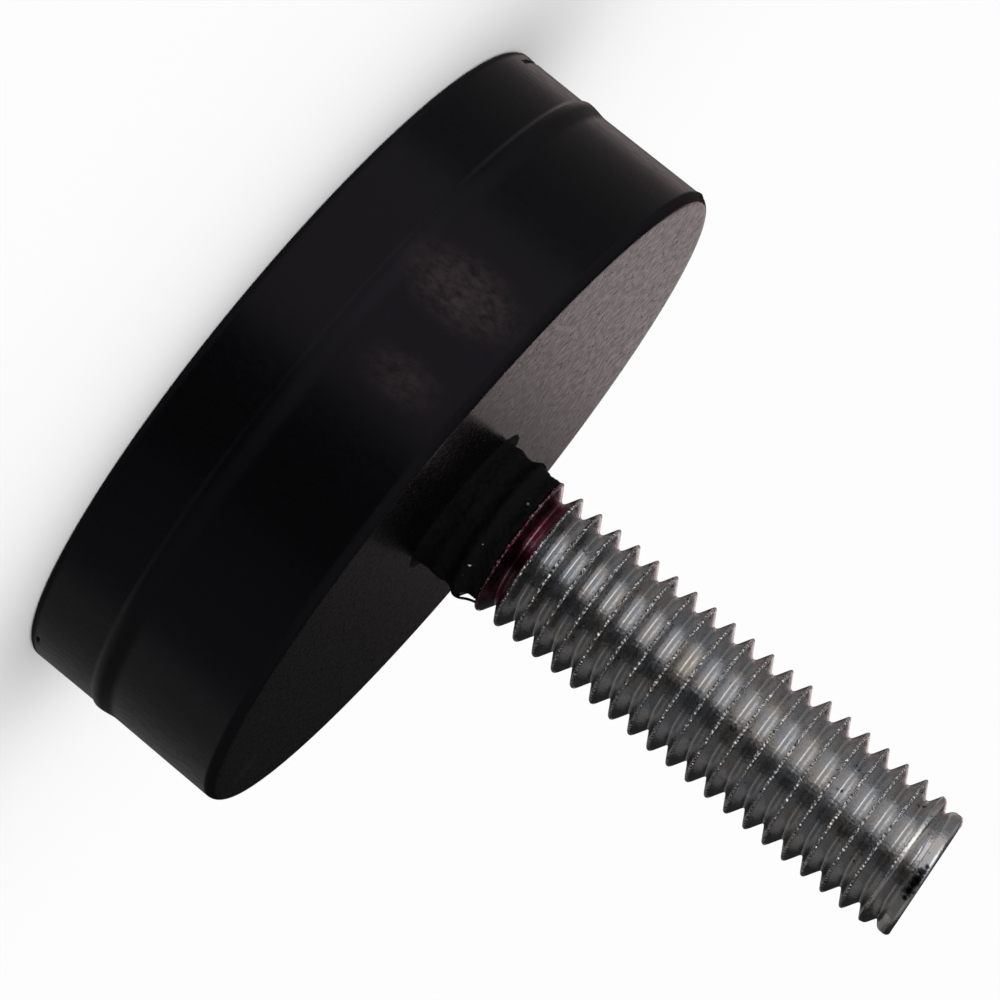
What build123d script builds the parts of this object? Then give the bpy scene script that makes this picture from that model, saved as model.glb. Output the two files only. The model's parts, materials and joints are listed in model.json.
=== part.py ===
from build123d import *
from math import cos, radians, tan
import os

# A screw-in rubber foot: a black rubber disc moulded round the head and neck of a zinc-plated
# steel bolt, whose thread stands out of the middle of the disc.
# Millimetres. The foot stands on Z = 0, its axis is Z, and the thread points up.

# Rubber disc
pad_diameter = 39.26
pad_height = 12.1
base_edge_bevel = 0.35
rim_edge_bevel = 0.3
rim_flare = 0.07  # how far the upper band opens towards the rim

# Lip where the two halves of the mould met
parting_height = 4.4
lip_height = 0.14
lip_rise = 0.75  # axial length of the slope below the lip
lip_fall = 1.1  # axial length of the slope above it
lip_radius = 0.5

# Rubber that crept up the bolt while it was moulded
collar_height = 3.0
collar_skirt = 0.45  # thickness over the thread's crests where the collar leaves the disc
collar_swell = 0.12  # thickness of the soft ridge over a covered crest
collar_waist = 0.13  # how far the collar sinks between covered crests
skirt_rise = 0.75
ridge_rise = 2.05
ridge_radius = 0.45
lip_of_collar = 0.2  # thickness of the ragged upper end over the neck

# Bolt head, held inside the rubber
head_across_flats = 13.0
head_height = 5.3
head_turned_off = 1.0  # radial depth of the chamfer on the head's corners
rubber_under_head = 3.4
neck_diameter = 7.1  # blank that the thread was rolled on

# Bare stud, a solid of the size that a nut meets: the crests of its thread
crest_diameter = 7.76
stud_reach = 30.2  # from the rubber's face to the middle of the bolt's end
end_ring_diameter = 7.0  # the last turn was rolled on the blank's chamfer
end_ring_width = 0.6
end_taper = 0.5
end_skew = 5.4  # degrees off square, as the bar was cropped
end_round = 0.22


def turned_section(corners: list[tuple[float, float, float]]) -> Sketch:
    """Half-section in the XZ plane, from corners given as radius, height and rounding."""
    with BuildSketch(Plane.XZ) as section:
        with BuildLine():
            Polyline(*[(radius, height) for radius, height, _ in corners], close=True)
        make_face()
        for radius, height, rounding in corners:
            if rounding:
                fillet(section.vertices().sort_by_distance((radius, height))[0], rounding)
    return section.sketch


# Heights and radii that both pieces share
pad_radius = pad_diameter / 2
rim_radius = pad_radius + rim_flare
crest_radius = crest_diameter / 2
neck_radius = neck_diameter / 2
head_top = rubber_under_head + head_height
collar_top = pad_height + collar_height
tip_height = pad_height + stud_reach


# Rubber disc with its collar, turned from one half-section
lip_start = parting_height - lip_rise
lip_end = parting_height + lip_fall
skirt_top = pad_height + skirt_rise
ridge_height = pad_height + ridge_rise
waist_radius = crest_radius - collar_waist
rubber = revolve(
    turned_section(
        [
            (0, 0, 0),
            (pad_radius - base_edge_bevel, 0, 0),
            (pad_radius, base_edge_bevel, 0),
            (pad_radius, lip_start, 0),
            (pad_radius + lip_height, parting_height, lip_radius),
            (pad_radius, lip_end, 0),
            (rim_radius, pad_height - rim_edge_bevel, 0),
            (rim_radius - rim_edge_bevel, pad_height, 0),
            (crest_radius + collar_skirt, pad_height, 0),
            (waist_radius, skirt_top, ridge_radius),
            (crest_radius + collar_swell, ridge_height, ridge_radius),
            (neck_radius + lip_of_collar, collar_top, 0),
            (0, collar_top, 0),
        ]
    ),
    axis=Axis.Z,
)

# Head: a hexagon whose outer corners are turned off, as on a forged bolt
head_corner_radius = head_across_flats / 2 / cos(radians(30))
with BuildPart() as head:
    with BuildSketch(Plane.XY.offset(rubber_under_head)):
        RegularPolygon(head_across_flats / 2, 6, major_radius=False)
    extrude(amount=head_height)
    with BuildSketch(Plane.XZ):
        with BuildLine():
            Polyline(
                (0, rubber_under_head),
                (head_corner_radius - head_turned_off, rubber_under_head),
                (head_corner_radius, rubber_under_head + head_turned_off * tan(radians(30))),
                (head_corner_radius, head_top),
                (0, head_top),
                close=True,
            )
        make_face()
    revolve(axis=Axis.Z, mode=Mode.INTERSECT)

neck = extrude(Plane.XY.offset(head_top) * Circle(neck_radius), collar_top - head_top)

# The rubber was moulded on, so its cavity is the head and the neck themselves
rubber_pad = rubber - head.part - neck

# Bare stud, which starts where the collar ends
end_ring_radius = end_ring_diameter / 2
end_ring_start = tip_height - end_ring_width
uncropped_top = tip_height + end_ring_radius
stud = revolve(
    turned_section(
        [
            (0, collar_top, 0),
            (crest_radius, collar_top, 0),
            (crest_radius, end_ring_start - end_taper, 0),
            (end_ring_radius, end_ring_start, 0),
            (end_ring_radius, uncropped_top, 0),
            (0, uncropped_top, 0),
        ]
    ),
    axis=Axis.Z,
)

# Cropped end, leaning towards +Y, with its edge dulled
crop_plane = Plane.XY.offset(tip_height).rotated((end_skew, 0, 0))
stud = split(stud, bisect_by=crop_plane, keep=Keep.BOTTOM)
end_edges = stud.faces().sort_by(Axis.Z)[-1].edges()
stud = fillet(end_edges, end_round)

threaded_bolt = head.part + neck + stud

os.makedirs("parts", exist_ok=True)
export_step(rubber_pad, "parts/rubber_pad.step")
export_step(threaded_bolt, "parts/threaded_bolt.step")
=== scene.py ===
"""Looks for a screw-in rubber foot: a black rubber disc moulded round a zinc-plated M8 bolt.

Sizes are in millimetres in the row's own frame, and turn to metres as a mesh is written.
"""

from __future__ import annotations

import json
import logging
import math
from collections.abc import Iterable
from dataclasses import asdict, dataclass, field
from enum import Enum
from functools import cached_property

import bpy
import numpy as np
from mathutils import Matrix, Vector, noise


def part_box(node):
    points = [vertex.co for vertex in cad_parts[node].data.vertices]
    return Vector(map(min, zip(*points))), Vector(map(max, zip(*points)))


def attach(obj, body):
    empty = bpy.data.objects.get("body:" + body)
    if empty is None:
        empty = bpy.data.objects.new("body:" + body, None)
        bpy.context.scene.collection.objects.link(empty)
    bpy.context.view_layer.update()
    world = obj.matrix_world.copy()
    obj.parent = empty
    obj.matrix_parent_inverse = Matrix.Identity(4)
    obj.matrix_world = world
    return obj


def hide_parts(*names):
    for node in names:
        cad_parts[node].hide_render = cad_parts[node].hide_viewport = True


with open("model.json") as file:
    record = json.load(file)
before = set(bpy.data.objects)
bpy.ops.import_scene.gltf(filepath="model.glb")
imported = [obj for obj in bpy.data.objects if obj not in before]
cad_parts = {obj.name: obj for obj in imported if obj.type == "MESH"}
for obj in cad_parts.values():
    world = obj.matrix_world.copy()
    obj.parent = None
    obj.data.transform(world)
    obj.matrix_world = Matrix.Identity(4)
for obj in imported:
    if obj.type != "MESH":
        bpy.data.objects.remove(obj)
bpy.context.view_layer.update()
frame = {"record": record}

MM = 0.001
ROOT_3 = math.sqrt(3)
WHITE = (1.0, 1.0, 1.0, 1.0)
SOFT = {"interpolation_type": "SMOOTHSTEP"}
IN_COLOUR = {"data_type": "RGBA"}
LOG = logging.getLogger("rubber_foot")

Colour = tuple[float, float, float, float]
Place = tuple[float, float, float]
Range = tuple[float, float]
Source = bpy.types.Node | bpy.types.NodeSocket


class Slot(Enum):
    """Material slots of the record."""

    RUBBER = "rubber"
    ZINC = "zinc_plated_steel"


def linear(colour: str) -> Colour:
    """Turn an sRGB colour given as "#rrggbb" into linear light with full alpha."""
    parts = [int(colour[i : i + 2], 16) / 255 for i in (1, 3, 5)]
    light = [c / 12.92 if c <= 0.04045 else ((c + 0.055) / 1.055) ** 2.4 for c in parts]
    return (light[0], light[1], light[2], 1.0)


def add(
    tree: bpy.types.NodeTree,
    kind: str,
    inputs: dict[int | str, object] | None = None,
    **settings: object,
) -> bpy.types.Node:
    """Add a node with its settings, and set or link its inputs.

    Args:
        tree: The tree that the node joins.
        kind: Blender's name for the node's class, where "ShaderNode" is left off the front.
        inputs: Values, sockets or nodes, by the input's name or number. A node stands for its
            first output in use. A map range's numbers are its value and the ends of both
            ranges; a mix has its factor at 0, and its terms at 2 and 3, or as colours 6 and 7.
        settings: Properties of the node by name.

    Returns:
        The new node.
    """
    node = tree.nodes.new(kind if "Node" in kind else f"ShaderNode{kind}")
    for name, value in settings.items():
        setattr(node, name, value)
    for key, value in (inputs or {}).items():
        if isinstance(value, bpy.types.Node):
            value = next(output for output in value.outputs if output.enabled)
        if isinstance(value, bpy.types.NodeSocket):
            tree.links.new(value, node.inputs[key])
        else:
            node.inputs[key].default_value = value
    return node


def overlay(
    tree: bpy.types.NodeTree, tone: Source | Colour, layers: Iterable[tuple[Source, str]]
) -> Source | Colour:
    """Lay colours over a tone, each of them where its mask is 1."""
    for mask, colour in layers:
        tone = add(tree, "Mix", {0: mask, 6: tone, 7: linear(colour)}, **IN_COLOUR)
    return tone


def new_material(name: str) -> bpy.types.Material:
    """Make a material whose node tree is still empty."""
    material = bpy.data.materials.new(name)
    material.use_nodes = True
    material.node_tree.nodes.clear()
    return material


def new_object(name: str, data: bpy.types.ID) -> bpy.types.Object:
    """Make an object and put it in the scene."""
    made = bpy.data.objects.new(name, data)
    bpy.context.scene.collection.objects.link(made)
    return made


def baked(item: bpy.types.Object, name: str) -> bpy.types.Mesh:
    """Turn an object's evaluated shape into a mesh, and remove the object."""
    evaluated = item.evaluated_get(bpy.context.evaluated_depsgraph_get())
    mesh = bpy.data.meshes.new_from_object(evaluated)
    bpy.data.objects.remove(item)
    mesh.name = name
    return mesh


class Shading:
    """A material being built, and where the shaded point is on the foot."""

    def __init__(self, name: str) -> None:
        """Start a material of that name with the point's place."""
        self.material = new_material(name)
        self.tree = self.material.node_tree
        self.metres = add(self.tree, "TexCoord").outputs["Object"]
        self.mm = add(self.tree, "Mapping", {"Vector": self.metres, "Scale": (1 / MM,) * 3})

    @cached_property
    def axes(self) -> tuple[Source, ...]:
        """X, Y and Z in millimetres."""
        return tuple(add(self.tree, "SeparateXYZ", {0: self.mm}).outputs)

    @cached_property
    def radius(self) -> Source:
        """Distance from the foot's axis in millimetres."""
        flat = add(self.tree, "CombineXYZ", {0: self.axes[0], 1: self.axes[1]})
        return add(self.tree, "VectorMath", {0: flat}, operation="LENGTH")

    def close(self, inputs: dict[int | str, object]) -> bpy.types.Material:
        """Add the shader and the output, and hand over the material."""
        shader = add(self.tree, "BsdfPrincipled", inputs)
        add(self.tree, "OutputMaterial", {0: shader})
        return self.material


def noise_at(x: np.ndarray, y: np.ndarray, z: np.ndarray, size: float) -> np.ndarray:
    """Smooth noise from -1 to 1 at points in millimetres, with a grain of that size."""
    points = np.stack([np.ravel(x), np.ravel(y), np.ravel(z)], axis=-1) / size
    values = [noise.noise(Vector(point)) for point in points]
    return np.array(values).reshape(np.shape(x))


def smoothstep(x: np.ndarray, low: float, high: float) -> np.ndarray:
    """A soft step from 0 at low to 1 at high."""
    t = np.clip((x - low) / (high - low), 0, 1)
    return t * t * (3 - 2 * t)


def cone(across: np.ndarray, up: np.ndarray, reach: Range) -> np.ndarray:
    """A small bump: 1 in its middle, and 0 at its reach across and up."""
    return np.clip(1 - np.hypot(across / reach[0], up / reach[1]), 0, 1)


def facing(turn: np.ndarray) -> np.ndarray:
    """Turn angles from 0..2 pi into -pi..pi, where 0 is the front."""
    return np.where(turn > math.pi, turn - math.tau, turn)


def finish_piece(
    name: str, mesh: bpy.types.Mesh, sharp: float, stands_for: tuple[str, ...] = ()
) -> bpy.types.Object:
    """Put a finished mesh in the scene as a piece of the foot.

    Args:
        name: The piece's name.
        mesh: Its mesh, in metres.
        sharp: Angle in degrees above which an edge stays sharp.
        stands_for: CAD nodes that the piece replaces.

    Returns:
        The piece, riding on the only body.
    """
    mesh.set_sharp_from_angle(angle=math.radians(sharp))
    piece = new_object(name, mesh)
    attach(piece, "root")
    if stands_for:
        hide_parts(*stands_for)
    LOG.info("%s: %d faces", name, len(mesh.polygons))
    return piece


@dataclass(frozen=True)
class PackedSizes:
    """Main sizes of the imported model, which the looks are fitted to."""

    lip_radius: float
    face_height: float
    crest_radius: float
    head_low: float
    tip_top: float

    @classmethod
    def from_frame(cls) -> PackedSizes:
        """Read the sizes from the frame's boxes and its record."""
        mounts = {mount["name"]: mount for mount in frame["record"]["mounts"]}
        _, pad_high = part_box("rubber_pad")
        bolt_low, bolt_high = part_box("threaded_bolt")
        return cls(
            lip_radius=pad_high.x / MM,
            face_height=mounts["top_face"]["pos_m"][2] / MM,
            crest_radius=mounts["stud_thread"]["dims"]["r_mm"],
            head_low=bolt_low.z / MM,
            tip_top=bolt_high.z / MM,
        )


@dataclass(frozen=True)
class Spot:
    """A small ragged mark on a surface."""

    place: Place
    size: float

    def mask(self, on: Shading, edge_noise: Source, ragged: float, core: float) -> Source:
        """Shade the mark, with an edge that noise breaks up.

        Args:
            on: The material being built.
            edge_noise: The noise.
            ragged: How far the noise moves the edge, as a share of the mark's size.
            core: Distance within which the mark is full, as a share of its size.

        Returns:
            1 on the mark and 0 off it.
        """
        gap = add(on.tree, "VectorMath", {0: on.mm, 1: self.place}, operation="DISTANCE")
        moved = {0: edge_noise, 1: self.size * ragged, 2: gap}
        edge = add(on.tree, "Math", moved, operation="MULTIPLY_ADD")
        return add(on.tree, "MapRange", {0: edge, 1: self.size * 1.8, 2: self.size * core})


@dataclass(frozen=True)
class HazeAndSheen:
    """A soft patch, partly wax risen to the rubber's surface and partly a painted sheen of the
    light in front.
    """

    place: Place
    reach: float
    strength: float


@dataclass(frozen=True)
class MouldedRubber:
    """Black natural rubber, compression moulded in a ground steel mould.

    The mould leaves a close satin skin, with small pits where air was caught under its lid and
    duller edges where the flash was trimmed. Wax blooms to the surface as a faint brown haze, and
    the haze patches also carry a painted sheen of the soft light in front.
    """

    colour: str = "#060506"
    # Colour of the wax haze, which also serves as the painted sheen in its patches
    haze_and_sheen: str = "#3c302f"
    gleam: str = "#f3eaff"
    gloss: float = 0.2
    roughness: float = 0.27
    roughness_wander: Range = (-0.05, 0.06)
    edge_roughness: float = 0.7
    base_edge: float = 0.35
    base_softness: float = 0.15
    rim_edge: float = 11.6
    rim_softness: float = 0.1
    face_from: float = 12.05
    lip_shoulder: Range = (4.35, 5.7)
    shoulder_wear: float = 0.5
    cloud_size: float = 0.42
    cloud_stretch: float = 1.5
    cloud_range: Range = (0.3, 0.7)
    haze_and_sheen_range: Range = (0.32, 0.68)
    haze_and_sheen_stretch: float = 1.7
    haze_and_sheen_core: float = 0.2
    grain: float = 0.22
    grain_depth: float = 0.02
    grain_strength: Range = (0.002, 0.012)
    calm: Range = (9.0, 13.0)
    pit: float = 0.45
    pit_depth: float = 0.04
    pit_strength: float = 0.7
    pit_range: Range = (0.29, 0.36)
    pit_side: Range = (-3.0, -6.0)
    # Patches of wax haze, which also paint in the sheen of the soft light in front
    haze_and_sheen_patches: tuple[HazeAndSheen, ...] = (
        HazeAndSheen((17.9, -7.8, 8.0), 2.6, 0.72),
        HazeAndSheen((19.4, -2.7, 8.6), 1.8, 0.4),
        HazeAndSheen((3.5, -19.3, 8.0), 4.0, 0.1),
        HazeAndSheen((0.1, 17.5, 12.1), 1.4, 0.3),
    )

    def tone(self, on: Shading, cloud: Source) -> Source | Colour:
        """Lay soft mottled patches over the black: the wax's haze, with a painted sheen of the
        light in front.

        Args:
            on: The material being built.
            cloud: The skin's slow noise.

        Returns:
            The colour.
        """
        tree, (low, high) = on.tree, self.haze_and_sheen_range
        mottle = add(tree, "MapRange", {0: cloud, 1: low, 2: high})
        squash = Vector((1.0, 1.0, 1 / self.haze_and_sheen_stretch))
        place = add(tree, "VectorMath", {0: on.mm, 1: squash}, operation="MULTIPLY")
        layers = []
        # Each patch is partly wax haze and partly a painted sheen, full in its middle and fading
        # outwards
        for haze_and_sheen_patch in self.haze_and_sheen_patches:
            ends = {0: place, 1: Vector(haze_and_sheen_patch.place) * squash}
            gap = add(tree, "VectorMath", ends, operation="DISTANCE")
            core = haze_and_sheen_patch.reach * self.haze_and_sheen_core
            fading = {0: gap, 1: haze_and_sheen_patch.reach, 2: core, 4: haze_and_sheen_patch.strength}
            near = add(tree, "MapRange", fading, **SOFT)
            patch = add(tree, "Math", {0: near, 1: mottle}, operation="MULTIPLY")
            layers.append((patch, self.haze_and_sheen))
        return overlay(tree, linear(self.colour), layers)

    def wear(self, on: Shading, below_face: Source, cloud: Source) -> Source:
        """Let the skin's gloss wander slightly, and fall off on the trimmed edges and the lip.

        Args:
            on: The material being built.
            below_face: 1 everywhere but on the face.
            cloud: The skin's slow noise.

        Returns:
            The roughness.
        """
        tree, height = on.tree, on.axes[2]
        low, high = self.cloud_range
        smoother, rougher = (self.roughness + change for change in self.roughness_wander)
        wandering = {0: cloud, 1: low, 2: high, 3: smoother, 4: rougher}
        skin = add(tree, "MapRange", wandering)
        below, over = self.rim_edge - self.rim_softness, self.rim_edge + self.rim_softness
        above = add(tree, "MapRange", {0: height, 1: below, 2: over}, **SOFT)
        on_rim = add(tree, "Math", {0: above, 1: below_face}, operation="MULTIPLY")
        below, over = self.base_edge - self.base_softness, self.base_edge + self.base_softness
        on_base = add(tree, "MapRange", {0: height, 1: over, 2: below}, **SOFT)
        on_edge = add(tree, "Math", {0: on_rim, 1: on_base}, operation="MAXIMUM")
        low, high = self.lip_shoulder
        middle, width = (low + high) / 2, high - low
        signed = add(tree, "Math", {0: height, 1: middle}, operation="SUBTRACT")
        away = add(tree, "Math", {0: signed}, operation="ABSOLUTE")
        band = {0: away, 1: width / 2, 2: width / 8, 4: self.shoulder_wear}
        on_shoulder = add(tree, "MapRange", band, **SOFT)
        worn = add(tree, "Math", {0: on_edge, 1: on_shoulder}, operation="MAXIMUM")
        return add(tree, "Mix", {0: worn, 2: skin, 3: self.edge_roughness}, data_type="FLOAT")

    def relief(self, on: Shading, below_face: Source) -> Source:
        """Give the skin its grain, calmer near the bolt, and the face its air pits on one side.

        Args:
            on: The material being built.
            below_face: 1 everywhere but on the face.

        Returns:
            The bumped normal.
        """
        tree, mm = on.tree, on.mm
        grain = add(tree, "TexNoise", {"Vector": mm, "Scale": 1 / self.grain, "Detail": 3.0})
        pits = add(tree, "TexNoise", {"Vector": mm, "Scale": 1 / self.pit, "Detail": 2.0})
        low, high = self.pit_range
        pitted = add(tree, "MapRange", {0: pits, 1: low, 2: high})
        start, full = self.pit_side
        clean = add(tree, "MapRange", {0: on.axes[1], 1: full, 2: start})
        spared = add(tree, "Math", {0: below_face, 1: clean}, operation="MAXIMUM")
        sunk = add(tree, "Math", {0: pitted, 1: spared}, operation="MAXIMUM")
        calmed = dict(enumerate((on.radius, *self.calm, *self.grain_strength)))
        strength = add(tree, "MapRange", calmed, **SOFT)
        depth = self.grain_depth * MM
        grained = add(tree, "Bump", {"Strength": strength, "Distance": depth, "Height": grain})
        strength, depth = self.pit_strength, self.pit_depth * MM
        pocked = {"Strength": strength, "Distance": depth, "Height": sunk, "Normal": grained}
        return add(tree, "Bump", pocked)

    def material(self, name: str) -> bpy.types.Material:
        """Build the finish as a material of that name."""
        on = Shading(name)
        # The cloud is drawn out a little along the way the rubber left the mould
        fine = 1 / (MM * self.cloud_size)
        scale = (fine, fine, fine / self.cloud_stretch)
        drawn = add(on.tree, "Mapping", {"Vector": on.metres, "Scale": scale})
        cloudy = {"Vector": drawn, "Scale": 1.0, "Detail": 6.0, "Roughness": 0.65}
        cloud = add(on.tree, "TexNoise", cloudy)
        heights = {0: on.axes[2], 1: self.face_from}
        below_face = add(on.tree, "Math", heights, operation="LESS_THAN")
        return on.close(
            {
                "Base Color": self.tone(on, cloud),
                "Roughness": self.wear(on, below_face, cloud),
                "IOR": 1.5,
                "Specular IOR Level": self.gloss,
                "Specular Tint": linear(self.gleam),
                "Normal": self.relief(on, below_face),
            }
        )


@dataclass(frozen=True)
class RubberFlash:
    """Rubber that was squeezed out of the mould along the bolt and never touched its wall.

    Its torn, dusty skin has no shine, and specks of plating lie on it.
    """

    colour: str = "#09080a"
    fleck: str = "#c4c2c0"
    roughness: float = 0.8
    gloss: float = 0.15
    grain: float = 0.15
    grain_depth: float = 0.05
    grain_strength: float = 0.6
    flecks: tuple[Spot, ...] = (
        Spot((3.38, -2.0, 15.11), 0.13),
        Spot((3.12, 2.32, 14.78), 0.07),
        Spot((3.2, 2.2, 14.95), 0.05),
        Spot((3.75, 1.08, 14.71), 0.05),
        Spot((1.75, 3.48, 15.01), 0.07),
    )

    def material(self, name: str) -> bpy.types.Material:
        """Build the finish as a material of that name."""
        on = Shading(name)
        grain = add(on.tree, "TexNoise", {"Vector": on.mm, "Scale": 1 / self.grain, "Detail": 3.0})
        flecks = [(fleck.mask(on, grain, 1.0, 1.0), self.fleck) for fleck in self.flecks]
        depth, strength = self.grain_depth * MM, self.grain_strength
        torn = {"Strength": strength, "Distance": depth, "Height": grain}
        return on.close(
            {
                "Base Color": overlay(on.tree, linear(self.colour), flecks),
                "Roughness": self.roughness,
                "Specular IOR Level": self.gloss,
                "Normal": add(on.tree, "Bump", torn),
            }
        )


@dataclass(frozen=True)
class Thread:
    """Size and place of the right-handed rolled thread, M8 coarse."""

    pitch: float = 1.25
    root_radius: float = 3.02
    crest_flat: float = 0.12
    crest_round: float = 0.12
    root_round: float = 0.3
    root_blend: float = 0.35
    first_crest: float = 17.017
    fade_low: float = 13.1
    fade_high: float = 13.9

    def crest_height(self, turn: np.ndarray, number: float) -> np.ndarray:
        """Height of a crest at angles from -pi to pi; number 0 is the second bare one."""
        return self.first_crest + self.pitch * (number + turn / math.tau)


@dataclass(frozen=True)
class ZincPlate:
    """Bright zinc, electroplated over a rolled steel thread.

    The thin plating shines with faint warm and cool tints. Rolling left the crests a row of
    small bright dashes, and release agent from the mould dried crimson in the first groove.
    """

    thread: Thread
    crest_radius: float
    colour: str = "#cfcecf"
    warm: str = "#d2ccc6"
    cool: str = "#c5c8cd"
    film: str = "#7f4356"
    scuff: str = "#37363a"
    tint_scale: float = 0.7
    roughness: float = 0.22
    roughness_wander: Range = (-0.06, 0.1)
    wear_scale: float = 1.6
    chip_scale: float = 4.0
    chip_range: Range = (0.7, 0.74)
    dash: float = 0.15
    dash_depth: float = 0.2
    crest_depth: Range = (0.11, 0.05)
    film_turn: Range = (95.0, 65.0)
    film_shift: float = 0.08
    film_softness: float = 0.05
    film_cover: tuple[float, ...] = (0.35, 0.6, 0.65, 1.0)
    scuffs: tuple[Spot, ...] = (
        Spot((1.49, -2.7, 40.0), 0.17),
        Spot((3.0, -0.73, 36.41), 0.1),
        Spot((2.2, -2.17, 36.15), 0.1),
        Spot((3.51, -0.46, 42.12), 0.2),
        Spot((3.52, -0.12, 42.1), 0.31),
        Spot((3.5, 0.26, 42.12), 0.34),
        Spot((3.47, 0.64, 42.1), 0.3),
        Spot((3.36, 1.02, 42.14), 0.26),
        Spot((3.2, 1.4, 42.18), 0.17),
    )

    def film_mask(self, on: Shading, tint: Source) -> Source:
        """Find the film, in the first groove and on the front of it.

        Args:
            on: The material being built.
            tint: The plating's slow noise.

        Returns:
            1 where the film is thickest, and 0 off it.
        """
        tree, (x, y, z) = on.tree, on.axes
        turn = add(tree, "Math", {0: y, 1: x}, operation="ARCTAN2")
        half = self.thread.pitch / 2
        lead = {0: turn, 1: self.thread.pitch / math.tau}
        climbed = add(tree, "Math", lead, operation="MULTIPLY")
        along = add(tree, "Math", {0: z, 1: climbed}, operation="SUBTRACT")
        middle = self.thread.first_crest - half - self.film_shift
        signed = add(tree, "Math", {0: along, 1: middle}, operation="SUBTRACT")
        across = add(tree, "Math", {0: signed}, operation="ABSOLUTE")
        limits = {0: across, 1: half + self.film_softness, 2: half - self.film_softness}
        in_groove = add(tree, "MapRange", limits)
        sideways = add(tree, "Math", {0: turn}, operation="ABSOLUTE")
        start, full = np.radians(self.film_turn)
        in_front = add(tree, "MapRange", {0: sideways, 1: start, 2: full})
        thick = add(tree, "MapRange", dict(enumerate((tint, *self.film_cover))))
        shown = add(tree, "Math", {0: in_groove, 1: in_front}, operation="MULTIPLY")
        return add(tree, "Math", {0: shown, 1: thick}, operation="MULTIPLY")

    def tone(self, on: Shading) -> Source | Colour:
        """Tint the plating, and lay its chips, the end's scuffs and the film over it."""
        tree, mm = on.tree, on.mm
        tint = add(tree, "TexNoise", {"Vector": mm, "Scale": self.tint_scale, "Detail": 3.0})
        plate = add(tree, "ValToRGB", {0: tint})
        stops = plate.color_ramp.elements
        stops[0].position, stops[0].color = 0.3, linear(self.cool)
        stops[1].position, stops[1].color = 0.72, linear(self.warm)
        stops.new(0.5).color = linear(self.colour)
        speck = add(tree, "TexNoise", {"Vector": mm, "Scale": self.chip_scale, "Detail": 2.0})
        marks = [add(tree, "MapRange", dict(enumerate((speck, *self.chip_range))))]
        marks += [scuff.mask(on, speck, 1.5, 1.2) for scuff in self.scuffs]
        layers = [(mark, self.scuff) for mark in marks]
        layers.append((self.film_mask(on, tint), self.film))
        return overlay(tree, plate, layers)

    def relief(self, on: Shading) -> Source:
        """Break the crests up into the dashes that rolling left."""
        tree, scale = on.tree, 1 / self.dash
        dashes = add(tree, "TexNoise", {"Vector": on.mm, "Scale": scale, "Detail": 0.0})
        low, high = (self.crest_radius - depth for depth in self.crest_depth)
        crest = add(tree, "MapRange", {0: on.radius, 1: low, 2: high, 3: 0.06, 4: 1.0})
        rolled = add(tree, "Math", {0: dashes, 1: crest}, operation="MULTIPLY")
        depth = self.dash_depth * MM
        return add(tree, "Bump", {"Strength": 1.0, "Distance": depth, "Height": rolled})

    def material(self, name: str) -> bpy.types.Material:
        """Build the finish as a material of that name."""
        on = Shading(name)
        wear = add(
            on.tree, "TexNoise", {"Vector": on.mm, "Scale": self.wear_scale, "Detail": 3.0}
        )
        smoother, rougher = (self.roughness + change for change in self.roughness_wander)
        wandering = {0: wear, 1: 0.3, 2: 0.7, 3: smoother, 4: rougher}
        return on.close(
            {
                "Base Color": self.tone(on),
                "Metallic": 1.0,
                "Roughness": add(on.tree, "MapRange", wandering),
                "Normal": self.relief(on),
            }
        )


@dataclass(frozen=True)
class Anchor:
    """The bolt's neck and hexagon head, which the rubber's cavity fits."""

    neck_radius: float = 3.55
    head_flat: float = 6.5
    head_top: float = 8.7

    def hexagon(self, turn: np.ndarray) -> np.ndarray:
        """Radius of the head at angles round the axis."""
        sixth = np.mod(turn + math.pi / 6, math.pi / 3) - math.pi / 6
        return self.head_flat / np.cos(sixth)


@dataclass
class Turned:
    """Rings of points round the Z axis, from one end of a closed piece to its other."""

    turn: np.ndarray
    radii: list[np.ndarray] = field(default_factory=list)
    heights: list[np.ndarray] = field(default_factory=list)

    def ring(self, radius: float | np.ndarray, height: float | np.ndarray) -> None:
        """Add the next ring."""
        self.radii.append(radius + 0 * self.turn)
        self.heights.append(height + 0 * self.turn)

    def arc(self, radius: float, height: float, rounding: float, start: float) -> None:
        """Add a quarter round about a centre, from an angle in degrees: 0 outwards, 90 up."""
        for angle in np.radians(np.linspace(start, start + 90, 9)):
            self.ring(radius + rounding * math.cos(angle), height + rounding * math.sin(angle))

    def mesh(self, name: str) -> bpy.types.Mesh:
        """Join the rings into a closed mesh with outward faces.

        Args:
            name: The mesh's name.

        Returns:
            The mesh, in metres. Its first and last rings shrink to a point on the axis.
        """
        radius, height = np.array(self.radii), np.array(self.heights)
        columns = len(self.turn)
        points = np.stack([radius * np.cos(self.turn), radius * np.sin(self.turn), height], axis=-1)
        inner = points[1:-1].reshape(-1, 3)
        vertices = np.concatenate([points[0, :1], inner, points[-1, :1]]) * MM
        bands = len(radius) - 3
        here = 1 + np.arange(bands * columns).reshape(bands, columns)
        beside = np.roll(here, -1, axis=1)
        quads = np.stack([here, beside, beside + columns, here + columns], axis=-1)
        faces = quads.reshape(-1, 4).tolist()
        top, end = 1 + bands * columns, len(vertices) - 1
        for j in range(columns):
            k = (j + 1) % columns
            faces.append((0, 1 + k, 1 + j))
            faces.append((end, top + j, top + k))
        mesh = bpy.data.meshes.new(name)
        mesh.from_pydata(vertices.tolist(), [], faces)
        mesh.validate()
        mesh.shade_smooth()
        return mesh


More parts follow.
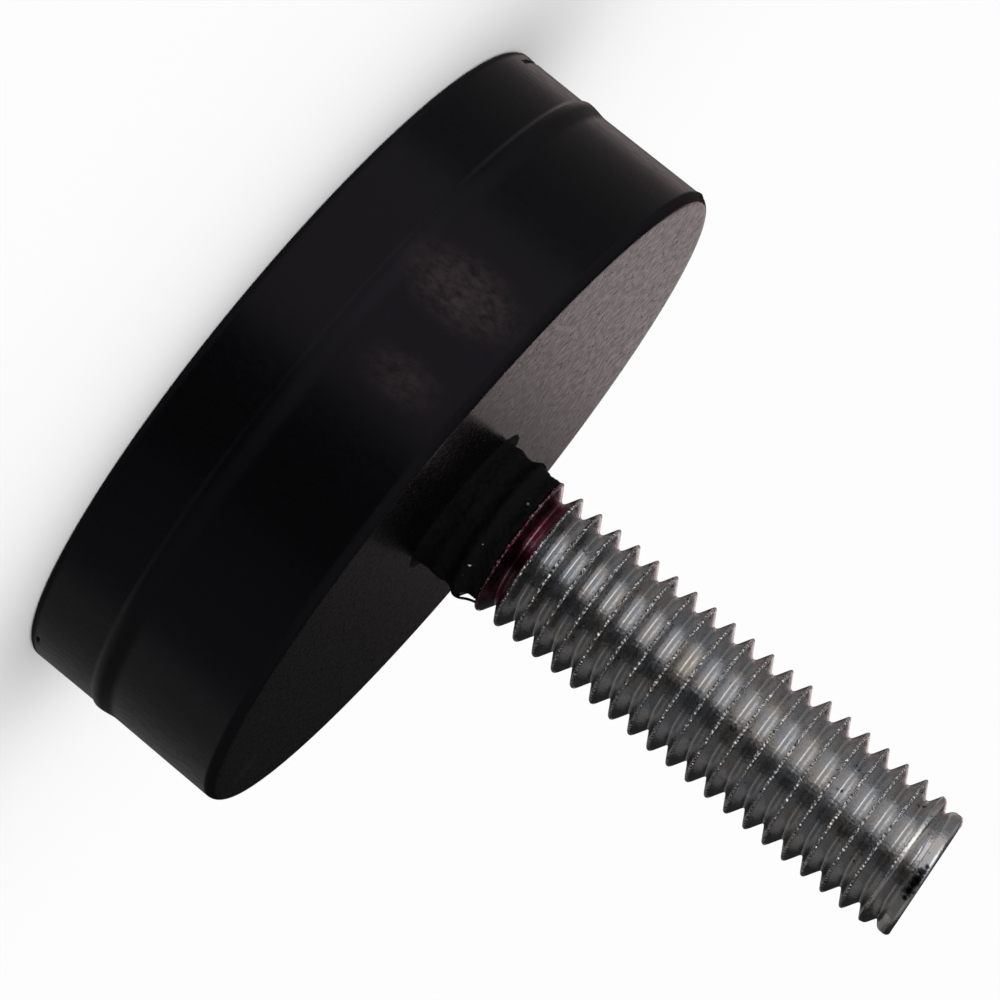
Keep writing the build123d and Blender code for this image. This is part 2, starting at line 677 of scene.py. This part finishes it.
@dataclass
class RubberPad:
    """The rubber disc with its moulding lip and the collar that crept up the bolt."""

    sizes: PackedSizes
    thread: Thread
    anchor: Anchor
    base_edge: float = 0.3
    base_rings: tuple[float, ...] = (0.0, 5.0, 10.0, 14.0, 17.0, 18.4)
    rim_edge: float = 0.5
    lip_low: float = 4.05
    lip_height: float = 0.134
    lip_crest: float = 4.35
    lip_flat: float = 0.1
    lip_high: float = 5.5
    flare: float = 0.07
    off_centre: float = 0.085
    skirt: float = 0.1
    skirt_reach: float = 0.3
    collar_radius: float = 3.74
    ridge: float = 0.24
    ridge_width: float = 0.34
    ridges: tuple[tuple[int, float], ...] = ((-3, 0.3), (-2, 1.0), (-1, 0.3))
    ridge_sag: float = 0.15
    lumps: tuple[tuple[float, float], ...] = ((0.8, 0.08), (0.25, 0.06))
    end_short_of_crest: float = 0.13
    gap_depth: float = 1.05
    gap_turn: Range = (64.0, 80.0)
    behind_from: float = 120.0
    behind_turns: float = 1.7
    edge_damage: float = 0.05
    notch_from: Range = (-104.0, -97.0)
    notch_to: Range = (-84.0, -77.0)
    notch_depth: float = 0.3
    notch_height: float = 0.93
    notch_half: float = 0.15
    spot_turn: float = -86.0
    spot_sunk: float = 0.3
    spot_reach: Range = (3.0, 0.35)
    spot_height: float = 0.1
    dent_turn: float = 73.0
    dent_height: float = 0.62
    dent_reach: Range = (1.6, 0.13)
    dent_depth: float = 0.15
    columns: int = 420
    finish: MouldedRubber = field(default_factory=MouldedRubber)
    flash: RubberFlash = field(default_factory=RubberFlash)

    @property
    def radius(self) -> float:
        """Radius of the disc's side, clear of its lip."""
        return self.sizes.lip_radius - self.lip_height

    def side_radius(self, z: float) -> float:
        """Radius of the disc's side at a height."""
        rise = smoothstep(z, self.lip_low, self.lip_crest) * self.lip_height
        fall = smoothstep(z, self.lip_crest + self.lip_flat, self.lip_high) * self.lip_height
        opened = (z - self.lip_high) / (self.sizes.face_height - self.lip_high)
        return float(self.radius + rise - fall + max(opened, 0.0) * self.flare)

    def collar_end(self, turn: np.ndarray) -> np.ndarray:
        """Height of the collar's ragged end, which follows the groove, at angles from 0."""
        front = facing(turn)
        along = self.thread.crest_height(front, -1) - self.end_short_of_crest
        along = along - self.gap_depth * smoothstep(front, *np.radians(self.gap_turn))
        behind = smoothstep(np.abs(front), math.radians(self.behind_from), math.pi)
        middle = self.thread.first_crest - self.behind_turns * self.thread.pitch
        ragged = 0.05 * noise_at(4 * np.cos(turn), 4 * np.sin(turn), 0 * turn, 0.5)
        return along * (1 - behind) + middle * behind + ragged

    def collar_surface(self, z: np.ndarray, turn: np.ndarray) -> np.ndarray:
        """Radius of the collar, which swells over covered crests, at heights and angles."""
        radius = np.full_like(z, self.collar_radius)
        for number, share in self.ridges:
            away = z - self.thread.crest_height(facing(turn), number) + self.ridge_sag
            radius = radius + self.ridge * share * np.exp(-((away / self.ridge_width) ** 2))
        above = (z - self.sizes.face_height) / self.skirt_reach
        radius = radius + self.skirt * np.exp(-above)
        x, y = 4 * np.cos(turn), 4 * np.sin(turn)
        return radius + sum(height * noise_at(x, y, z, size) for size, height in self.lumps)

    def wear(self, radius: np.ndarray, height: np.ndarray, turn: np.ndarray) -> np.ndarray:
        """Small damage on the disc's edges, as change of radius.

        Args:
            radius: Radii of the side's points.
            height: Their heights.
            turn: Their angles in radians.

        Returns:
            What to add to the radii.
        """
        front = np.degrees(facing(turn))
        zone = smoothstep(front, *self.notch_from) * (1 - smoothstep(front, *self.notch_to))
        low = 1 - smoothstep(height, 0.6, 1.6)
        x, y = radius * np.cos(turn), radius * np.sin(turn)
        rough = self.edge_damage * noise_at(x, y, height, 0.35) * low
        groove = np.clip(1 - np.abs(height - self.notch_height) / self.notch_half, 0, 1)
        over_spot = height - self.sizes.face_height + self.spot_sunk
        spot = cone(front - self.spot_turn, over_spot, self.spot_reach)
        dent = cone(front - self.dent_turn, height - self.dent_height, self.dent_reach)
        damage = zone * (rough - self.notch_depth * groove)
        return damage + self.spot_height * spot - self.dent_depth * dent

    def disc(self, piece: Turned) -> None:
        """Add the base, the side and the face."""
        height = self.sizes.face_height
        for radius in self.base_rings:
            piece.ring(radius, 0.0)
        first = len(piece.radii)
        piece.arc(self.radius - self.base_edge, self.base_edge, self.base_edge, -90)
        rim_low = height - self.rim_edge
        steps = (
            (self.base_edge + 0.04, 1.4, 0.05),
            (1.5, self.lip_low, 0.25),
            (self.lip_low, self.lip_high, 0.1),
            (self.lip_high + 0.1, rim_low - 0.5, 0.3),
            (rim_low - 0.45, rim_low, 0.08),
        )
        for start, stop, step in steps:
            for z in np.arange(start, stop - 0.01, step):
                piece.ring(self.side_radius(z), z)
        rim_radius = self.side_radius(rim_low)
        piece.arc(rim_radius - self.rim_edge, rim_low, self.rim_edge, 0)
        last = len(piece.radii)
        for i in range(first, last):
            piece.radii[i] = piece.radii[i] + self.wear(
                piece.radii[i], piece.heights[i], piece.turn
            )
        for i in range(3, last):
            piece.radii[i] = piece.radii[i] + self.off_centre * np.sin(piece.turn)
        for radius in np.linspace(rim_radius - self.rim_edge - 0.4, 5.0, 22):
            piece.ring(radius, height)

    def collar(self, piece: Turned) -> None:
        """Add the collar, up to its ragged end."""
        height, turn = self.sizes.face_height, piece.turn
        end = self.collar_end(turn)
        foot = self.collar_surface(height + 0 * turn, turn)
        for gap in (0.5, 0.2, 0.05):
            piece.ring(foot + gap, height)
        for share in np.linspace(0.01, 1.0, 42):
            z = height + share * (end - height)
            piece.ring(self.collar_surface(z, turn), z)
        last = self.collar_surface(end, turn)
        piece.ring(last - 0.08, end + 0.05)
        piece.ring(last - 0.3, end + 0.04)
        piece.ring(self.thread.root_radius - 0.03, end)
        piece.ring(self.thread.root_radius - 0.05, end - 0.15)

    def cavity(self, piece: Turned) -> None:
        """Add the cavity that the bolt's neck and hexagon head fill."""
        hexagon, top = self.anchor.hexagon(piece.turn), self.anchor.head_top
        piece.ring(self.anchor.neck_radius, self.thread.fade_low - 0.2)
        piece.ring(self.anchor.neck_radius, top)
        piece.ring(hexagon, top)
        piece.ring(hexagon, self.sizes.head_low)
        piece.ring(0.0, self.sizes.head_low)

    def unglossed(self, polygon: bpy.types.MeshPolygon) -> bool:
        """Whether a polygon lies in the torn notch or on the raised spot, where no gloss is."""
        x, y, z = polygon.center / MM
        front = math.degrees(math.atan2(y, x))
        along_notch = self.notch_from[0] - 1 < front < self.notch_to[1] + 1
        in_notch = along_notch and abs(z - self.notch_height) < self.notch_half + 0.01
        on_rim = z > self.sizes.face_height - 0.5 and math.hypot(x, y) > self.radius - 0.3
        return in_notch or (on_rim and abs(front - self.spot_turn) < 2.5)

    def build(self) -> bpy.types.Object:
        """Build and dress the rubber."""
        even = np.arange(self.columns) * math.tau / self.columns
        close = np.radians(360 + np.arange(-92.0, -79.0, 0.35))
        piece = Turned(np.unique(np.round(np.concatenate([even, close]), 6)))
        self.disc(piece)
        collar_from = len(piece.radii)
        self.collar(piece)
        collar_to = len(piece.radii)
        self.cavity(piece)
        mesh = piece.mesh("rubber_foot_pad")
        mesh.materials.append(self.finish.material("black_moulded_rubber"))
        mesh.materials.append(self.flash.material("torn_rubber_flash"))
        columns = len(piece.turn)
        collar = range((collar_from - 1) * columns, (collar_to - 1) * columns)
        for polygon in mesh.polygons:
            if polygon.index in collar or self.unglossed(polygon):
                polygon.material_index = 1
        return finish_piece("rubber_foot_pad", mesh, 42, ("rubber_pad",))


@dataclass
class RubberStrand:
    """A hair of flash that still bridges the collar and the first bare crest."""

    material: bpy.types.Material
    radius: float = 0.07
    route: tuple[Place, ...] = (
        (0.3, 3.6, 14.3),
        (0.12, 3.98, 14.5),
        (0.06, 4.02, 14.9),
        (0.05, 3.74, 15.35),
        (0.06, 3.6, 15.75),
        (0.1, 3.55, 16.0),
    )

    def build(self) -> bpy.types.Object:
        """Build and dress the strand."""
        curve = bpy.data.curves.new("strand_line", "CURVE")
        curve.dimensions = "3D"
        curve.bevel_depth = self.radius * MM
        curve.bevel_resolution = 3
        curve.use_fill_caps = True
        spline = curve.splines.new("NURBS")
        spline.points.add(len(self.route) - 1)
        for point, place in zip(spline.points, self.route):
            point.co = (*(Vector(place) * MM), 1.0)
        spline.order_u = 3
        spline.use_endpoint_u = True
        mesh = baked(new_object("strand_line", curve), "rubber_strand")
        mesh.materials.clear()
        mesh.materials.append(self.material)
        mesh.shade_smooth()
        return finish_piece("rubber_strand", mesh, 60)


# Sums that wind a grid's points into the thread: a result's name, the operation, and its
# terms, which are numbers or the names of inputs and earlier results
THREAD_RULES: tuple[tuple[object, ...], ...] = (
    # How many rows and columns the grid needs
    ("reach", "SUBTRACT", "tip_height", "bottom"),
    ("pitches", "DIVIDE", "reach", "pitch"),
    ("with spare", "ADD", "pitches", 2.4),
    ("turns", "CEIL", "with spare"),
    ("bands", "MULTIPLY", "turns", "rows_a_turn"),
    ("rows", "ADD", "bands", 1),
    ("posts", "ADD", "columns", 1),
    # Which row and column a point is in, and its angle
    ("mid index", "ADD", "index", 0.5),
    ("filled columns", "DIVIDE", "mid index", "rows"),
    ("column", "FLOOR", "filled columns"),
    ("passed", "MULTIPLY", "column", "rows"),
    ("row", "SUBTRACT", "index", "passed"),
    ("part", "DIVIDE", "column", "columns"),
    ("turn", "MULTIPLY", "part", math.tau),
    ("cosine", "COSINE", "turn"),
    ("sine", "SINE", "turn"),
    # Rows climb one pitch a turn, so a crest lies along a row
    ("step", "DIVIDE", "row", "rows_a_turn"),
    ("sunk", "MULTIPLY", "pitch", 1.1),
    ("start", "SUBTRACT", "bottom", "sunk"),
    ("straight", "MULTIPLY_ADD", "step", "pitch", "start"),
    ("wound", "MULTIPLY_ADD", "part", "pitch", "straight"),
    # 60 degree flanks, with rounded crests and roots
    ("from crest", "SUBTRACT", "straight", "first_crest"),
    ("offset", "DIVIDE", "from crest", "pitch"),
    ("nearest", "ROUND", "offset"),
    ("phase", "SUBTRACT", "offset", "nearest"),
    ("wave", "ABSOLUTE", "phase"),
    ("away", "MULTIPLY", "wave", "pitch"),
    ("half flat", "MULTIPLY", "crest_flat", 0.5),
    ("to next", "SUBTRACT", "pitch", "away"),
    ("rounded", "SMOOTH_MIN", "away", "to next", "root_blend"),
    ("down", "SUBTRACT", "rounded", "half flat"),
    ("drop", "MULTIPLY", "down", ROOT_3),
    ("flank", "SUBTRACT", "crest_radius", "drop"),
    ("crest", "SMOOTH_MIN", "flank", "crest_radius", "crest_round"),
    ("thread", "SMOOTH_MAX", "crest", "root_radius", "root_round"),
    # The thread fades to the plain neck inside the collar
    ("into fade", "SUBTRACT", "wound", "fade_low"),
    ("fade length", "SUBTRACT", "fade_high", "fade_low"),
    ("faded", "DIVIDE", "into fade", "fade length"),
    ("faded in", "MAXIMUM", "faded", 0.0),
    ("fade", "MINIMUM", "faded in", 1.0),
    ("over neck", "SUBTRACT", "thread", "neck_radius"),
    ("shank", "MULTIPLY_ADD", "over neck", "fade", "neck_radius"),
    # Depth below the end, which the cropping left out of square
    ("lean", "TANGENT", "tip_lean"),
    ("nod", "TANGENT", "tip_nod"),
    ("far side", "MULTIPLY", "sine", "ring_radius"),
    ("far front", "MULTIPLY", "cosine", "ring_radius"),
    ("leaned", "MULTIPLY_ADD", "far side", "lean", "tip_height"),
    ("edge", "MULTIPLY_ADD", "far front", "nod", "leaned"),
    ("below", "SUBTRACT", "edge", "wound"),
    # The last turn, rolled on the blank's chamfer: a soft tapered band
    ("past", "SUBTRACT", "below", "ring_width"),
    ("soft past", "SMOOTH_MAX", "past", 0.0, "ring_blend"),
    ("ring drop", "MULTIPLY", "soft past", ROOT_3),
    ("ring", "SUBTRACT", "ring_radius", "ring drop"),
    ("taper share", "DIVIDE", "past", "taper"),
    ("taper span", "SUBTRACT", "crest_radius", "ring_radius"),
    ("cone", "MULTIPLY_ADD", "taper share", "taper span", "ring_radius"),
    ("tapered", "SMOOTH_MIN", "shank", "cone", "crest_round"),
    ("banded", "MAXIMUM", "tapered", "ring"),
    # A round edge to the end
    ("into round", "SUBTRACT", "ring_round", "below"),
    ("round share", "DIVIDE", "into round", "ring_round"),
    ("share above", "MAXIMUM", "round share", 0.0),
    ("share", "MINIMUM", "share above", 1.0),
    ("squared", "MULTIPLY", "share", "share"),
    ("left", "SUBTRACT", 1.0, "squared"),
    ("bow", "SQRT", "left"),
    ("cut", "SUBTRACT", 1.0, "bow"),
    ("dulled", "MULTIPLY", "cut", "ring_round"),
    ("outline", "SUBTRACT", "banded", "dulled"),
    # The first and last rows close on the axis
    ("first", "LESS_THAN", "row", 0.5),
    ("before last", "SUBTRACT", "rows", 1.5),
    ("final", "GREATER_THAN", "row", "before last"),
    ("closed", "MAXIMUM", "first", "final"),
    ("open", "SUBTRACT", 1.0, "closed"),
    ("radius", "MULTIPLY", "outline", "open"),
    # Where the point goes
    ("x", "MULTIPLY", "radius", "cosine"),
    ("y", "MULTIPLY", "radius", "sine"),
    ("leaned limit", "MULTIPLY_ADD", "y", "lean", "tip_height"),
    ("limit", "MULTIPLY_ADD", "x", "nod", "leaned limit"),
    ("above bottom", "MAXIMUM", "wound", "bottom"),
    ("z", "MINIMUM", "above bottom", "limit"),
)


@dataclass(frozen=True)
class StudEnd:
    """Size of the thread's last turn and of the bolt's cropped end."""

    tip_lean: float = math.radians(5.4)
    tip_nod: float = math.radians(2.6)
    ring_radius: float = 3.52
    ring_width: float = 0.75
    ring_round: float = 0.28
    ring_blend: float = 0.35
    taper: float = 1.3


@dataclass
class ThreadedBolt:
    """The zinc-plated bolt: hexagon head in the rubber, neck, and rolled thread."""

    sizes: PackedSizes
    thread: Thread
    anchor: Anchor
    end: StudEnd = StudEnd()
    rows_a_turn: int = 20
    columns: int = 160
    weld: float = 0.002

    def thread_sizes(self) -> dict[str, float]:
        """Name the thread's inputs, in millimetres, radians and counts."""
        leaned = self.end.ring_radius * math.tan(self.end.tip_lean)
        return {
            **asdict(self.thread),
            **asdict(self.end),
            "tip_height": self.sizes.tip_top - leaned,
            "crest_radius": self.sizes.crest_radius,
            "neck_radius": self.anchor.neck_radius,
            "bottom": self.anchor.head_top,
            "columns": self.columns,
            "rows_a_turn": self.rows_a_turn,
        }

    def thread_tree(self, material: bpy.types.Material) -> bpy.types.NodeTree:
        """Build the node tree that winds a grid into the thread.

        Args:
            material: The finish that the thread gets.

        Returns:
            The tree, with a named input for each size.
        """
        tree = bpy.data.node_groups.new("rolled_thread", "GeometryNodeTree")
        for name, value in self.thread_sizes().items():
            kind = "NodeSocketInt" if isinstance(value, int) else "NodeSocketFloat"
            tree.interface.new_socket(name, in_out="INPUT", socket_type=kind)
        tree.interface.new_socket("Geometry", in_out="OUTPUT", socket_type="NodeSocketGeometry")
        given = add(tree, "NodeGroupInput").outputs
        known: dict[object, object] = {name: given[name] for name in self.thread_sizes()}
        known["index"] = add(tree, "GeometryNodeInputIndex").outputs[0]
        for name, operation, *terms in THREAD_RULES:
            inputs = {place: known.get(term, term) for place, term in enumerate(terms)}
            known[name] = add(tree, "Math", inputs, operation=operation)

        counts = {"Vertices X": known["posts"], "Vertices Y": known["rows"]}
        shape = add(tree, "GeometryNodeMeshGrid", counts)
        place = add(tree, "CombineXYZ", {0: known["x"], 1: known["y"], 2: known["z"]})
        metres = add(tree, "VectorMath", {0: place, "Scale": MM}, operation="SCALE")
        for step, inputs in (
            ("SetPosition", {"Position": metres}),
            ("MergeByDistance", {"Distance": self.weld * MM}),
            ("SetShadeSmooth", {}),
            ("RealizeInstances", {}),
            ("SetMaterial", {"Material": material}),
        ):
            shape = add(tree, f"GeometryNode{step}", {"Geometry": shape, **inputs})
        add(tree, "NodeGroupOutput", {0: shape})
        return tree

    def rolled_thread(self, material: bpy.types.Material) -> bpy.types.Object:
        """Wind the thread with its neck and cropped end.

        Args:
            material: Its finish.

        Returns:
            The finished piece.
        """
        seed = new_object("thread_seed", bpy.data.meshes.new("thread_seed"))
        modifier = seed.modifiers.new("rolled_thread", "NODES")
        modifier.node_group = self.thread_tree(material)
        sizes = self.thread_sizes()
        for item in modifier.node_group.interface.items_tree:
            if item.in_out == "INPUT":
                modifier[item.identifier] = sizes[item.name]
        mesh = baked(seed, "bolt_thread")
        middle = mesh.polygons[len(mesh.polygons) // 2]
        if middle.normal.dot(middle.center) < 0:
            mesh.flip_normals()
        return finish_piece("bolt_thread", mesh, 55, ("threaded_bolt",))

    def hexagon_head(self, material: bpy.types.Material) -> bpy.types.Object:
        """Build the head in that finish, with its lower corners turned off."""
        piece = Turned(np.arange(72) * math.tau / 72)
        hexagon = self.anchor.hexagon(piece.turn)
        chamfered = np.minimum(hexagon, self.anchor.head_flat)
        low, top = self.sizes.head_low, self.anchor.head_top
        piece.ring(0.0, low)
        piece.ring(chamfered, low)
        piece.ring(hexagon, low + (hexagon - chamfered) * math.tan(math.radians(30)))
        piece.ring(hexagon, top)
        piece.ring(0.0, top)
        mesh = piece.mesh("bolt_head")
        mesh.materials.append(material)
        return finish_piece("bolt_head", mesh, 25)

    def build(self) -> list[bpy.types.Object]:
        """Build and dress the thread with its neck, and the head."""
        finish = ZincPlate(self.thread, self.sizes.crest_radius)
        material = finish.material("bright_zinc_plated_steel")
        return [self.rolled_thread(material), self.hexagon_head(material)]


@dataclass(frozen=True)
class Card:
    """A soft pale card far round the object, seen only as a reflection."""

    azimuth: float
    half_width: float
    level: float
    low: float = -100.0
    high: float = 100.0
    soft: float = 6.0
    soft_low: float = 4.0
    soft_high: float = 10.0


@dataclass
class Studio:
    """Floor, light and camera."""

    distance: float = 350.0
    elevation: float = 7.315
    roll: float = 129.204
    lens: float = 249.19
    sensor: float = 36.0
    aim_height: float = 20.0
    shift_right: float = -4.264
    shift_up: float = 5.02
    floor_half: float = 6.0
    floor_colour: str = "#fdfdfd"
    warm_wall: str = "#ffedee"
    diffuse_level: float = 1.0
    ring_level: float = 0.02
    sky_level: float = 0.1
    ground_level: float = 0.06
    sky_rise: Range = (35.0, 60.0)
    ground_fall: Range = (-18.0, -45.0)
    wall_turn: Range = (-120.0, -150.0)
    cards: tuple[Card, ...] = (
        # Tall cards round the front, which the thread's grooves and the disc's side mirror
        Card(-39.5, 36.5, 0.56, soft=12.0),
        Card(-38.0, 24.0, 1.1, low=14.0, high=46.0, soft=18.0, soft_low=18.0, soft_high=18.0),
        Card(-112.0, 40.0, 0.15, high=35.0, soft=14.0),
        Card(-112.0, 40.0, 0.13, low=12.0, high=40.0, soft=14.0),
        Card(-112.0, 40.0, 0.07, high=-24.0, soft=14.0),
        Card(80.0, 34.0, 0.1, soft=16.0),
        Card(74.0, 26.0, 0.14, low=14.0, high=46.0, soft=16.0, soft_low=16.0, soft_high=16.0),
        # Cards behind, which only the disc's side mirrors
        Card(-158.0, 9.0, 0.43, low=-30.0, high=-2.0, soft=10.0),
        Card(138.0, 38.0, 0.15, low=-40.0, high=-3.0),
        # Pale wall behind, which the face mirrors at a glance
        Card(-170.1, 9.1, 1.1, low=1.0, high=12.0, soft=1.5, soft_high=6.0),
    )

    def camera(self) -> None:
        """Place the camera where the photograph was taken from."""
        lift = math.radians(self.elevation)
        forward = Vector((-math.cos(lift), 0, -math.sin(lift)))
        level = Vector((0, 1, 0))
        upright = level.cross(forward)
        roll = math.radians(self.roll)
        right = level * math.cos(roll) + upright * math.sin(roll)
        up = upright * math.cos(roll) - level * math.sin(roll)
        aim = Vector((0, 0, self.aim_height))
        place = aim - forward * self.distance + right * self.shift_right + up * self.shift_up
        data = bpy.data.cameras.new("camera")
        data.lens = self.lens
        data.sensor_width = self.sensor
        camera = new_object("camera", data)
        turned = Matrix((right, up, -forward)).transposed().to_4x4()
        camera.matrix_world = Matrix.Translation(place * MM) @ turned
        bpy.context.scene.camera = camera

    def floor(self) -> None:
        """Lay a pale paper floor, level with the foot's base."""
        mesh = bpy.data.meshes.new("paper_floor")
        half = self.floor_half
        corners = [(-half, -half, 0), (half, -half, 0), (half, half, 0), (-half, half, 0)]
        mesh.from_pydata(corners, [], [(0, 1, 2, 3)])
        material = new_material("white_matt_paper")
        tree = material.node_tree
        matt = add(tree, "BsdfDiffuse", {"Color": linear(self.floor_colour)})
        add(tree, "OutputMaterial", {0: matt})
        mesh.materials.append(material)
        floor = new_object("paper_floor", mesh)
        floor.visible_glossy = False

    def reflections(self, tree: bpy.types.NodeTree) -> tuple[Source, Source]:
        """Lay out what gloss mirrors: a dark room with a pale sky, a pale floor and cards.

        Args:
            tree: The world's tree.

        Returns:
            The level and the colour of the light that comes from each direction.
        """
        look = add(tree, "TexCoord").outputs["Generated"]
        x, y, z = add(tree, "SeparateXYZ", {0: look}).outputs
        turn = add(tree, "Math", {0: y, 1: x}, operation="ARCTAN2")
        azimuth = add(tree, "Math", {0: turn}, operation="DEGREES")
        lift = add(tree, "Math", {0: z}, operation="ARCSINE")
        elevation = add(tree, "Math", {0: lift}, operation="DEGREES")
        level: Source | float = self.ring_level
        for (start, full), end in (
            (self.sky_rise, self.sky_level),
            (self.ground_fall, self.ground_level),
        ):
            ramp = {0: elevation, 1: start, 2: full, 3: level, 4: end}
            level = add(tree, "MapRange", ramp, **SOFT)
        for card in self.cards:
            gap = {0: azimuth, 1: card.azimuth}
            signed = add(tree, "Math", gap, operation="SUBTRACT")
            away = add(tree, "Math", {0: signed}, operation="ABSOLUTE")
            shape: Source | float = 1.0
            for value, limit, soft, top in (
                (away, card.half_width, -card.soft, 1.0),
                (elevation, card.low, card.soft_low, 1.0),
                (elevation, card.high, -card.soft_high, card.level),
            ):
                edge = {0: value, 1: limit - soft / 2, 2: limit + soft / 2, 4: top}
                inside = add(tree, "MapRange", edge, **SOFT)
                shape = add(tree, "Math", {0: shape, 1: inside}, operation="MULTIPLY")
            level = add(tree, "Math", {0: level, 1: shape}, operation="ADD")
        start, full = self.wall_turn
        behind = add(tree, "MapRange", {0: azimuth, 1: start, 2: full}, **SOFT)
        return level, overlay(tree, WHITE, [(behind, self.warm_wall)])

    def world(self) -> None:
        """Light the object evenly, and give its gloss soft cards to mirror."""
        world = bpy.data.worlds.new("studio")
        bpy.context.scene.world = world
        world.use_nodes = True
        world.cycles.sampling_method = "NONE"
        tree = world.node_tree
        tree.nodes.clear()
        level, colour = self.reflections(tree)
        glossy = add(tree, "LightPath").outputs["Is Glossy Ray"]
        levels = {0: glossy, 2: self.diffuse_level, 3: level}
        strength = add(tree, "Mix", levels, data_type="FLOAT")
        tone = add(tree, "Mix", {0: glossy, 6: WHITE, 7: colour}, **IN_COLOUR)
        glow = add(tree, "Background", {"Color": tone, "Strength": strength})
        add(tree, "OutputWorld", {0: glow})

    def build(self) -> None:
        """Set up the whole studio."""
        self.camera()
        self.floor()
        self.world()
        bpy.context.scene.view_settings.view_transform = "Standard"


def main() -> None:
    """Build the studio and the foot, and keep both boxes."""
    logging.basicConfig(level=logging.INFO, format="%(name)s: %(message)s")
    sizes = PackedSizes.from_frame()
    thread, anchor = Thread(), Anchor()
    Studio().build()
    pad = RubberPad(sizes, thread, anchor).build()
    RubberStrand(pad.data.materials[1]).build()
    ThreadedBolt(sizes, thread, anchor).build()


if __name__ == "__main__":
    main()
